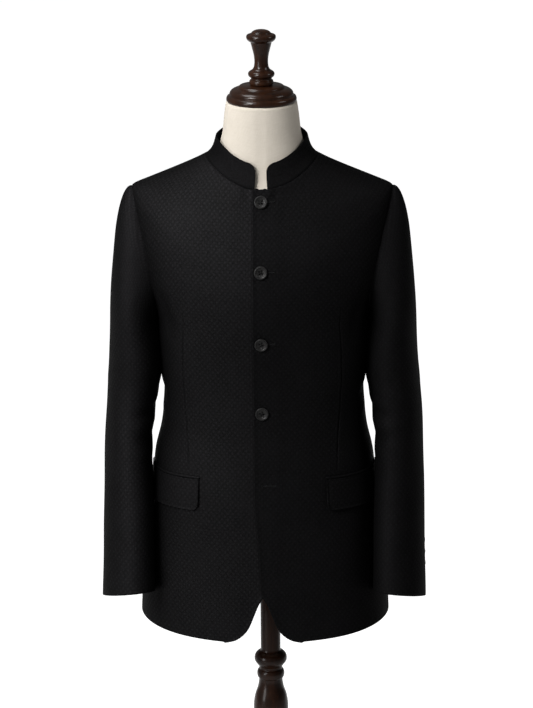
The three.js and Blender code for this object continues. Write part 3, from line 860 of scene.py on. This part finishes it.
def patch_points(run, fall, out):
    """Points that lie on a front. run is back from the pocket's front end, and fall is down from
    its mouth."""
    level = level_at(np.array([40.0]), np.array([FLAP["z"]]))[0]
    ring = np.linspace(20, 110, 901)
    in_front = ring < 60
    line = body_points(ring, level)
    reach = np.concatenate([[0], np.cumsum(np.linalg.norm(np.diff(line, axis=0), axis=-1))])
    first = np.interp(FLAP["x"], line[in_front, 0], reach[in_front])
    bearing = np.interp(first + run, reach, ring)
    flat_bearing, flat_fall = np.broadcast_arrays(bearing, fall)
    z = FLAP["z"] - flat_fall - FLAP["slant"] * np.broadcast_to(run, flat_fall.shape)
    place = level_at(flat_bearing.ravel(), z.ravel()).reshape(z.shape)
    return on_body(flat_bearing, place, out)


def flap_depth(run):
    inside = FLAP["corner"] - np.minimum(np.minimum(run, FLAP["length"] - run), FLAP["corner"])
    return FLAP["depth"] - FLAP["corner"] + np.sqrt(np.maximum(FLAP["corner"] ** 2 - inside**2, 0))


corner_run = FLAP["corner"] * (1 - np.cos(np.linspace(0, math.pi / 2, 12)))
middle_run = np.linspace(FLAP["corner"], FLAP["length"] - FLAP["corner"], 30)[1:-1]
flap_run = np.concatenate([corner_run, middle_run, (FLAP["length"] - corner_run)[::-1]])[None, :]
share_up = np.linspace(1, 0, 40)[:, None]
flap_fall = JETTING["depth"] + SEAM + share_up * flap_depth(flap_run)
flap_lift = CLEAR + FLAP_FLARE * share_up + FLAP["thick"] + 0 * flap_run
# Its edge is pressed: a fine bead, and a groove inside it
side_gap = np.minimum(flap_run, FLAP["length"] - flap_run)
flap_gap = np.minimum(side_gap, (1 - share_up) * flap_depth(flap_run))
flap_lift = flap_lift + FLAP_BEAD["high"] * swell(flap_gap, FLAP_BEAD["wide"])
from_groove = flap_gap - FLAP_GROOVE["inside"]
flap_lift = flap_lift - FLAP_GROOVE["deep"] * swell(from_groove, FLAP_GROOVE["wide"])
flap_place = patch_points(flap_run, flap_fall, flap_lift)
flap_weave = np.stack([np.broadcast_to(flap_run, flap_fall.shape), -flap_fall], axis=-1)
jet_run = np.linspace(-1, FLAP["length"] + 1, 34)[None, :]
jet_share = np.linspace(1, 0, 9)[:, None]
jet_fall = JETTING["depth"] * jet_share + 0 * jet_run
jet_roll = JETTING["roll"] * np.sin(math.pi * jet_share) ** 0.7 + 0 * jet_run
jet_place = patch_points(jet_run, jet_fall, CLEAR + JETTING["thick"] + jet_roll)
jet_weave = np.stack([jet_fall, np.broadcast_to(jet_run, jet_fall.shape)], axis=-1)
for side, mirror in (("left", False), ("right", True)):
    flap = lay_cloth(side + "_pocket_flap", flap_place, flap_weave, mirror, FLAP["thick"], 0.7)
    dress(flap, CLOTH[side], "cloth", "flap_" + side)
    jet = lay_cloth(side + "_pocket_jetting", jet_place, jet_weave, mirror, JETTING["thick"], 0.4)
    dress(jet, CLOTH[side], "cloth", "jetting_" + side)


# Turned pieces
def turned_outline(rows, parts=5):
    """A profile of [radius, height, soft] rows as points: it runs smoothly through soft rows and
    has a corner at the others."""
    line = np.array([row[:2] for row in rows], dtype=float)
    soft = [row[2] for row in rows]
    outline = [line[0]]
    for i in range(len(line) - 1):
        chord = line[i + 1] - line[i]
        before = (line[i + 1] - line[i - 1]) / 2 if soft[i] else chord
        after = (line[i + 2] - line[i]) / 2 if soft[i + 1] else chord
        straight = not soft[i] and not soft[i + 1]
        for u in [1.0] if straight else np.linspace(0, 1, parts + 1)[1:]:
            outline.append(hermite(line[i], line[i + 1], before, after, u))
    return outline


def turn(name, rows, middle, lift, steps, edge=0.6):
    """Spins a profile round an upright line at x = middle."""
    bm = bmesh.new()
    verts = [
        bm.verts.new(((middle + r) * MM, 0, (z + lift) * MM)) for r, z in turned_outline(rows)
    ]
    edges = [bm.edges.new(pair) for pair in zip(verts, verts[1:])]
    bmesh.ops.spin(
        bm,
        geom=verts + edges,
        cent=(middle * MM, 0, 0),
        axis=(0, 0, 1),
        angle=2 * math.pi,
        steps=steps,
        use_merge=True,
    )
    bmesh.ops.remove_doubles(bm, verts=bm.verts, dist=1e-6)
    bmesh.ops.recalc_face_normals(bm, faces=bm.faces)
    piece = finished(name, bm)
    ease_edges(piece, "eased_edge", edge, 35)
    return piece


CAP_HEIGHT = 26
CAP = [
    [0, 0, 0],
    [53.5, 0, 0],
    [55.4, 2, 1],
    [55.8, 5, 1],
    [54.8, 8.4, 1],
    [52.8, 10, 0],
    [50.4, 10.8, 0],
    [50.6, 13.4, 1],
    [49.4, 16.4, 1],
    [46, 19.4, 1],
    [41, 21.4, 1],
    [37, 22, 0],
    [36.6, 23.6, 1],
    [35, 25.3, 0],
    [33.8, CAP_HEIGHT, 0],
    [0, CAP_HEIGHT, 0],
]
FINIAL = [
    [0, 0, 0],
    [17, 0, 0],
    [18.6, 1.6, 1],
    [19.2, 4.5, 1],
    [18.6, 8, 0],
    [16.6, 9, 0],
    [16.4, 12.2, 0],
    [19.6, 14, 1],
    [21, 17.5, 1],
    [19.8, 21.2, 1],
    [15, 24.4, 0],
    [13.4, 26, 0],
    [11.6, 30, 1],
    [10.8, 38, 1],
    [11.8, 48, 1],
    [14.4, 59, 1],
    [17, 69, 0],
    [19.6, 70.2, 0],
    [22.4, 73, 1],
    [23.5, 76.4, 1],
    [22.4, 80, 1],
    [17.4, 82, 0],
    [15.6, 83, 0],
    [14.2, 85, 1],
    [10.4, 87.2, 1],
    [5.5, 88.3, 1],
    [0, 88.5, 0],
]
BASE_HEIGHT = 24
POLE_FOOT = BASE_HEIGHT + SEAM
POLE = [
    [0, POLE_FOOT, 0],
    [26, POLE_FOOT, 0],
    [26.5, POLE_FOOT + 4, 1],
    [25, POLE_FOOT + 9, 0],
    [21, POLE_FOOT + 14, 1],
    [18, POLE_FOOT + 26, 1],
    [16.4, POLE_FOOT + 60, 1],
    [16.3, 398, 0],
    [18.6, 400, 0],
    [20.4, 406, 1],
    [20, 411, 1],
    [17.8, 415, 0],
    [17.6, 424, 1],
    [19.4, 446, 1],
    [23.6, 476, 1],
    [27.4, 510, 1],
    [28.6, 538, 1],
    [27.8, 549, 1],
    [25.6, 560, 1],
    [21.6, 572, 1],
    [19.6, 582, 0],
    [19.3, 588, 0],
    [21.6, 591, 1],
    [22.6, 597, 1],
    [21.4, 602, 1],
    [19.2, 605, 0],
    [19, 609, 0],
    [22.4, 613.5, 1],
    [25.8, 618.5, 1],
    [26.8, 623.5, 1],
    [25.4, 629.5, 1],
    [21.5, 634, 1],
    [16.9, 636.5, 0],
    [16.3, 640, 0],
    [16.3, FORM_BASE - SEAM, 0],
    [0, FORM_BASE - SEAM, 0],
]
BASE = [
    [0, 0, 0],
    [183, 0, 0],
    [185, 3, 1],
    [185, 11, 1],
    [182, 16, 0],
    [176, 18, 0],
    [170, 21.4, 1],
    [161, BASE_HEIGHT, 0],
    [0, BASE_HEIGHT, 0],
]
# The stand is a little to the wearer's left of the form's middle
STAND_X = 8
for name, rows, middle, lift, steps, node in (
    ("neck_cap", CAP, 0, NECK_TOP + SEAM, 96, "form_neck_cap"),
    ("finial", FINIAL, 0, NECK_TOP + CAP_HEIGHT + 2 * SEAM, 64, "form_finial"),
    ("pole", POLE, STAND_X, 0, 64, "stand_pole"),
    ("round_base", BASE, STAND_X, 0, 128, "stand_base"),
):
    dress(turn(name, rows, middle, lift, steps), WALNUT, "wood", node)


# The dress form
NECK_SEAM = {"deep": 0.7, "wide": 1.6}


def form_grid():
    bearing = np.arange(0, 361, 5.0)[None, :]
    level = np.concatenate([[82, 100], np.linspace(120, NECKLINE, 72)])[:, None]
    towards_side = np.sin(np.radians(bearing)) ** 6
    ease = read(EASE, "all", level) + read(EASE, "side", level) * towards_side
    torso = on_body(bearing + 0 * level, level + 0 * bearing, -WALL - LAP_STEP - ease)
    torso[0, :, 2] = FORM_BASE
    height = np.linspace(0, 6, 40)[:, None]
    neck = ring_points(NECK, bearing + 0 * height, height + 0 * bearing)
    # The cover's seam down the centre front of the neck
    seam = swell(neck[..., 0], NECK_SEAM["wide"]) * (neck[..., 1] < 0)
    neck[..., 1] += NECK_SEAM["deep"] * seam
    return np.concatenate([torso, neck])


form_place = form_grid()
form_rise = np.concatenate([[0], np.cumsum(np.linalg.norm(np.diff(form_place[:, 0], axis=0), axis=-1))])
form_weave = np.stack([arcs(form_place), form_rise[:, None] + 0 * form_place[..., 0]], axis=-1)


def close_form(points, weave):
    """The form's cover, joined at the back and closed at the top and the bottom."""
    bm = woven_grid(points, weave)
    bmesh.ops.remove_doubles(bm, verts=bm.verts, dist=1e-6)
    open_edges = [edge for edge in bm.edges if edge.is_boundary]
    bmesh.ops.holes_fill(bm, edges=open_edges, sides=0)
    bmesh.ops.recalc_face_normals(bm, faces=bm.faces)
    return finished("linen_form", bm)


dress(close_form(form_place, form_weave), LINEN, "linen", "form_torso")


# Buttons: a rimmed disc with four holes, sewn on with thread
def button_disc(radius, thick):
    rows = [
        [0, 0, 0],
        [0.6, 0, 0],
        [0.9, 0.2, 1],
        [1, 0.52, 1],
        [0.97, 0.86, 1],
        [0.9, 1, 1],
        [0.8, 0.98, 1],
        [0.68, 0.72, 1],
        [0.6, 0.62, 0],
        [0, 0.56, 0],
    ]
    return [[r * radius, z * thick, soft] for r, z, soft in rows]


def rod(bm, radius, start, end, steps):
    """Adds a round rod between two points."""
    start, end = Vector(start), Vector(end)
    line = end - start
    matrix = Matrix.Translation((start + end) / 2) @ line.to_track_quat("Z", "Y").to_matrix().to_4x4()
    bmesh.ops.create_cone(
        bm,
        cap_ends=True,
        segments=steps,
        radius1=radius,
        radius2=radius,
        depth=line.length,
        matrix=matrix,
    )


# Shares of a button's radius, but for the sunk face, which is a share of its thickness
SEWN = {"apart": 0.2, "hole": 0.14, "thread": 0.05, "face": 0.62}


def sewn_button(name, node, radius, thick, place, facing, roll):
    """A four-hole button at a place, facing a direction, and its thread."""
    blank = turn(name, button_disc(radius, thick), 0, 0, 48, 0.12)
    hole_bm = bmesh.new()
    thread_bm = bmesh.new()
    gap = SEWN["apart"] * radius * MM
    hole = SEWN["hole"] * radius * MM
    strand = SEWN["thread"] * radius * MM
    top = SEWN["face"] * thick * MM
    for x in (-gap, gap):
        for y in (-gap, gap):
            rod(hole_bm, hole, (x, y, -thick * MM), (x, y, 2 * thick * MM), 16)
            rod(thread_bm, strand, (x, y, 0.1 * thick * MM), (x, y, top), 8)
        rod(thread_bm, strand, (x, -gap, top), (-x, gap, top), 8)
    drill = finished(name + "_drill", hole_bm)
    cut = blank.modifiers.new("holes", "BOOLEAN")
    cut.object = drill
    cut.solver = "EXACT"
    graph = bpy.context.evaluated_depsgraph_get()
    disc = bpy.data.meshes.new_from_object(blank.evaluated_get(graph))
    disc.name = name
    for spare in (blank, drill):
        bpy.data.objects.remove(spare)
    turned_to = Vector(facing).to_track_quat("Z", "Y").to_matrix().to_4x4()
    at = Matrix.Translation(Vector(place) * MM) @ turned_to @ Matrix.Rotation(roll, 4, "Z")
    disc.transform(at)
    piece = bpy.data.objects.new(name, disc)
    bpy.context.scene.collection.objects.link(piece)
    dress(piece, HORN, "buttons", node)
    threads = finished(name + "_thread", thread_bm)
    threads.data.transform(at)
    dress(threads, THREAD, "cloth")


BUTTON = {"radius": 10.5, "thick": 4}
BUTTON_HEIGHTS = [1415, 1312, 1196, 1079]
LAST_BUTTONHOLE = 960
centre_levels = np.arange(0, NECKLINE + LADDER_STEP, LADDER_STEP)
centre_heights = body_points(np.zeros_like(centre_levels), centre_levels)[:, 2]


def centre_level(z):
    """The level at which the centre front has a height."""
    return np.interp(z, centre_heights, centre_levels)


for i, z in enumerate(BUTTON_HEIGHTS):
    level = centre_level(z)
    sewn_button(
        f"front_button_{i + 1}",
        f"button_{i + 1}",
        BUTTON["radius"],
        BUTTON["thick"],
        on_body(np.array(0.0), level, LAP_STEP + CLEAR),
        body_out(np.array(0.0), level),
        0.2 * i,
    )

CUFF_BUTTON = {"radius": 7.5, "thick": 3, "turn": -56.0, "first": 50, "pitch": 18.6, "count": 3}
for i in range(CUFF_BUTTON["count"]):
    along = np.array(1 + CUFF - CUFF_BUTTON["first"] - i * CUFF_BUTTON["pitch"])
    turn_at = np.array(CUFF_BUTTON["turn"])
    facing = outward(sleeve_points, turn_at, along, 1.0, 1.0)
    place = sleeve_points(turn_at, along) + facing * CLEAR
    for side, flip in (("left", 1), ("right", -1)):
        sewn_button(
            f"{side}_cuff_button_{i + 1}",
            f"cuff_button_{side}_{i + 1}",
            CUFF_BUTTON["radius"],
            CUFF_BUTTON["thick"],
            place * (flip, 1, 1),
            facing * (flip, 1, 1),
            0.3 * i,
        )


# Buttonholes: a slit between two rows of close stitches, with a round eye at the button's end
HOLE = {"start": -1.5, "length": 23.0, "half": 0.5, "stitches": 34}
EYE = {"radius": 1.9, "inner": 0.9, "outer": 2.0, "stitches": 14}
STITCH = {"thick": 0.26, "long": 1.1, "out": 0.05}
KNOT = {"thick": 0.3, "long": 0.6, "apart": 0.7, "out": 0.1}
BAR = {"thick": 0.4, "half": 1.6, "out": 0.1}
OPEN_RISE = 0.25
BUTTONED_RISE = -0.38


def buttonhole(name, z, rise):
    """A worked buttonhole at a height, whose stitches are moved out by rise."""
    bm = bmesh.new()
    level = centre_level(z)

    def at(x, up, out):
        bearing = degrees(0.0, level, x)
        return on_body(np.array(bearing), level + up, LAP_STEP + out + rise) * MM

    slit = HOLE["start"] + EYE["radius"] * 2
    end = HOLE["start"] + HOLE["length"]
    for i in range(HOLE["stitches"]):
        x = slit + (end - slit) * i / (HOLE["stitches"] - 1)
        for side in (-1, 1):
            near = at(x, side * HOLE["half"], STITCH["out"])
            far = at(x, side * (HOLE["half"] + STITCH["long"]), STITCH["out"])
            rod(bm, STITCH["thick"] * MM, near, far, 6)
            lip = side * HOLE["half"] * KNOT["apart"]
            rod(bm, KNOT["thick"] * MM, at(x, lip, KNOT["out"]), at(x + KNOT["long"], lip, KNOT["out"]), 6)
    middle = HOLE["start"] + EYE["radius"]
    for i in range(EYE["stitches"]):
        angle = math.radians(30 + 300 * i / (EYE["stitches"] - 1))
        ray = np.array([-math.cos(angle), math.sin(angle)])
        near = at(middle + EYE["inner"] * ray[0], EYE["inner"] * ray[1], STITCH["out"])
        far = at(middle + EYE["outer"] * ray[0], EYE["outer"] * ray[1], STITCH["out"])
        rod(bm, STITCH["thick"] * MM, near, far, 6)
    rod(bm, BAR["thick"] * MM, at(end, -BAR["half"], BAR["out"]), at(end, BAR["half"], BAR["out"]), 8)
    dress(finished(name, bm), THREAD, "cloth")


# A buttoned hole is pulled flat, and the open one stands up
for i, z in enumerate([*BUTTON_HEIGHTS, LAST_BUTTONHOLE]):
    rise = OPEN_RISE if z == LAST_BUTTONHOLE else BUTTONED_RISE
    buttonhole(f"buttonhole_{i + 1}", z, rise)

# The studio: a pale floor with a painted glow behind the form, soft light that is stronger from the front
# left, and the camera
FLOOR_HALF = 30.0
LIGHT_TARGET = Vector((0, 0, 1.15))
# The sky's strength on each side, which goes over evenly from one to the other
SKY = {"From Min": -1, "From Max": 1, "To Min": 0.3, "To Max": 0.08}
floor_bm = bmesh.new()
bmesh.ops.create_grid(floor_bm, x_segments=4, y_segments=4, size=FLOOR_HALF)
floor = finished("studio_floor", floor_bm)
floor.data.materials.append(floor_paint_and_glow())

world = bpy.data.worlds.new("studio")
bpy.context.scene.world = world
world.use_nodes = True
sky = world.node_tree
direction = sky.nodes.new("ShaderNodeTexCoord")
split = sky.nodes.new("ShaderNodeSeparateXYZ")
sky.links.new(direction.outputs["Generated"], split.inputs["Vector"])
ramp = sky.nodes.new("ShaderNodeMapRange")
for key, value in SKY.items():
    ramp.inputs[key].default_value = value
sky.links.new(split.outputs["X"], ramp.inputs["Value"])
sky.links.new(ramp.outputs["Result"], sky.nodes["Background"].inputs["Strength"])
sky.nodes["Background"].inputs["Color"].default_value = (1, 1, 1, 1)


def soft_light(name, place, size, power):
    data = bpy.data.lights.new(name, "AREA")
    data.energy = power
    data.shape = "RECTANGLE"
    data.size, data.size_y = size
    lamp = bpy.data.objects.new(name, data)
    bpy.context.scene.collection.objects.link(lamp)
    lamp.location = place
    aim = LIGHT_TARGET - Vector(place)
    lamp.rotation_euler = aim.to_track_quat("-Z", "Y").to_euler()


soft_light("key", (-1.5, -1.9, 2.75), (0.8, 1.1), 80)
soft_light("side", (-3.5, -3.0, 1.6), (1.2, 2.2), 54)
soft_light("top", (-0.9, -0.1, 3.3), (0.9, 0.9), 30)
soft_light("fill", (1.9, -0.4, 2.7), (0.8, 0.8), 12)

# The camera stands 5.5 m off, 16 degrees above the horizon, a little to the wearer's left
CAMERA_DISTANCE = 5.5
CAMERA_TARGET = 1.145
CAMERA_RISE = math.radians(16)
CAMERA_TURN = math.radians(1.6)
CAMERA_ROLL = math.radians(0.45)
SENSOR = 36
FOCAL_PIXELS = 3410
IMAGE_HEIGHT = 708
AXIS_SHIFT_PIXELS = 3.0
view = bpy.data.cameras.new("camera")
view.sensor_width = SENSOR
view.lens = SENSOR * FOCAL_PIXELS / IMAGE_HEIGHT
view.shift_x = AXIS_SHIFT_PIXELS / IMAGE_HEIGHT
camera = bpy.data.objects.new("camera", view)
bpy.context.scene.collection.objects.link(camera)
flat_distance = CAMERA_DISTANCE * math.cos(CAMERA_RISE)
camera.location = (
    flat_distance * math.sin(CAMERA_TURN),
    -flat_distance * math.cos(CAMERA_TURN),
    CAMERA_TARGET + CAMERA_DISTANCE * math.sin(CAMERA_RISE),
)
aim = Vector((0, 0, CAMERA_TARGET)) - camera.location
look = aim.to_track_quat("-Z", "Y").to_matrix() @ Matrix.Rotation(-CAMERA_ROLL, 3, "Z")
camera.rotation_euler = look.to_euler()
bpy.context.scene.camera = camera
bpy.context.scene.view_settings.view_transform = "Standard"
